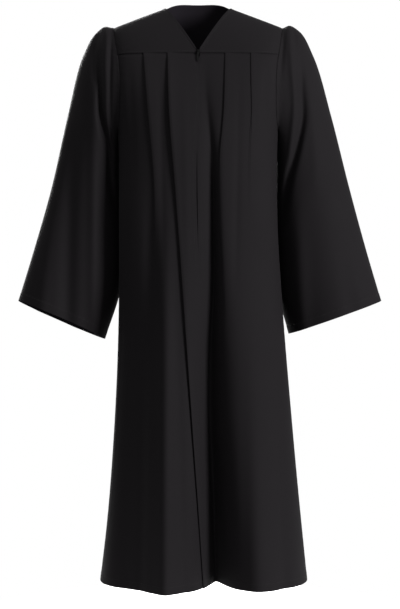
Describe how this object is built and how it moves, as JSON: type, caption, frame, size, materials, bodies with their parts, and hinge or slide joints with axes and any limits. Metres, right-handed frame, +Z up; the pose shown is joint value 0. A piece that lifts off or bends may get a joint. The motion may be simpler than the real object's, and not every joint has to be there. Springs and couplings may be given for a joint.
{
  "type": "graduation gown",
  "caption": "Full-length black graduation gown, hollow as worn: V-neck yoke, knife pleats falling to the hem, open bell sleeves and a centre-front zip with a pull tab.",
  "frame": {"origin": "between the shoulders, level with the sides of the neck, where a wearer carries the gown", "axes": "+Z up along the body, -Y out of the front, +X to the right of someone looking at the front"},
  "size_m": [0.8615, 0.443, 1.3592],
  "materials": {
    "gown_cloth": "matte black woven polyester",
    "zip_tape": "black woven tape",
    "zip_coil": "black nylon coil",
    "zip_metal": "black enamelled zinc casting"
  },
  "bodies": {
    "gown": {"yoke": "gown_cloth", "front_left": "gown_cloth", "front_right": "gown_cloth", "back": "gown_cloth", "sleeve_left": "gown_cloth", "sleeve_right": "gown_cloth", "zip_tape_left": "zip_tape", "zip_tape_right": "zip_tape", "zip_coil": "zip_coil", "zip_slider": "zip_metal"},
    "pull_tab": {"zip_pull": "zip_metal"}
  },
  "joints": [
    {"name": "pull_tab_hinge", "type": "hinge", "parent": "gown", "child": "pull_tab", "pos_m": [0, -0.09087, -0.1115], "axis": [-1, 0, 0], "range_deg": [0, 150]}
  ]
}
